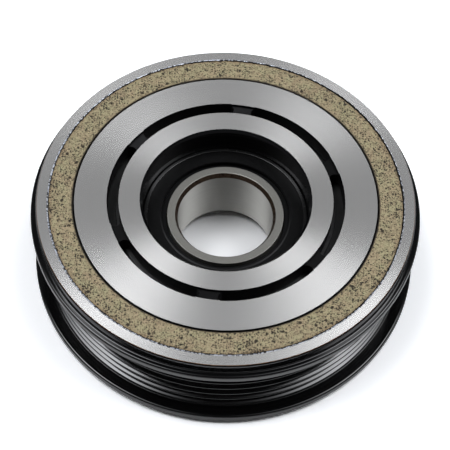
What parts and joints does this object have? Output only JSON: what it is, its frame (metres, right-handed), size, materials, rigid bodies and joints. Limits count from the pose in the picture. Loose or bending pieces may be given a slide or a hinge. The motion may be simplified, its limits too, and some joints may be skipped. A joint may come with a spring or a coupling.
{
  "type": "electromagnetic clutch",
  "caption": "Rotor pulley of an electromagnetic compressor clutch: slotted face with a friction ring, poly-V pulley, sealed double-row bearing and stationary field coil.",
  "frame": {"origin": "centre of the hub's rear end, on which the part rests, on the bearing's axis", "axes": "+Z along the axis of rotation, from the resting plane towards the friction face; X passes through the coil's terminal block"},
  "size_m": [0.1298, 0.1298, 0.035],
  "materials": {
    "rotor_steel": "ground face, black coated elsewhere",
    "black_coat": "gloss black coat",
    "weld_steel": "black coated weld",
    "friction_lining": "speckled moulded facing",
    "bearing_steel": "ground",
    "bearing_outer": "black oxide",
    "ball_steel": "polished",
    "cage_plastic": "moulded polyamide",
    "seal_rubber": "matte",
    "insert_steel": "pressed sheet",
    "coil_steel": "black coated sheet",
    "plate_steel": "zinc plated",
    "bobbin_plastic": "moulded",
    "copper_wire": "enamelled copper",
    "tape": "woven tape",
    "epoxy": "cast resin",
    "fuse_metal": "plain",
    "block_plastic": "moulded",
    "blade_brass": "tinned",
    "diode_resin": "moulded"
  },
  "bodies": {
    "stator": {"bearing_inner_ring": "bearing_steel", "coil_mounting_plate": "plate_steel", "coil_shell": "coil_steel", "coil_bobbin": "bobbin_plastic", "coil_winding": "copper_wire", "coil_tape": "tape", "coil_potting": "epoxy", "coil_thermal_fuse": "fuse_metal", "coil_terminal_block": "block_plastic", "coil_terminal_blades": "blade_brass", "coil_diode": "diode_resin"},
    "rotor": {"rotor_body": "rotor_steel", "pulley_ring": "black_coat", "rotor_weld_seam": "weld_steel", "friction_ring": "friction_lining", "bearing_outer_ring": "bearing_outer", "front_seal": "seal_rubber", "rear_seal": "seal_rubber", "front_seal_insert": "insert_steel", "rear_seal_insert": "insert_steel"},
    "front_ball_set": {"front_balls": "ball_steel", "front_cage": "cage_plastic"},
    "rear_ball_set": {"rear_balls": "ball_steel", "rear_cage": "cage_plastic"}
  },
  "joints": [
    {"name": "rotor_spin", "type": "hinge", "parent": "stator", "child": "rotor", "pos_m": [0, 0, 0.014], "axis": [0, 0, 1], "continuous": true},
    {"name": "front_row_spin", "type": "hinge", "parent": "stator", "child": "front_ball_set", "pos_m": [0, 0, 0.0189], "axis": [0, 0, 1], "continuous": true},
    {"name": "rear_row_spin", "type": "hinge", "parent": "stator", "child": "rear_ball_set", "pos_m": [0, 0, 0.0091], "axis": [0, 0, 1], "continuous": true}
  ],
  "couplings": [
    {"joint": "front_row_spin", "follows": "rotor_spin", "ratio": 0.5625},
    {"joint": "rear_row_spin", "follows": "rotor_spin", "ratio": 0.5625}
  ]
}
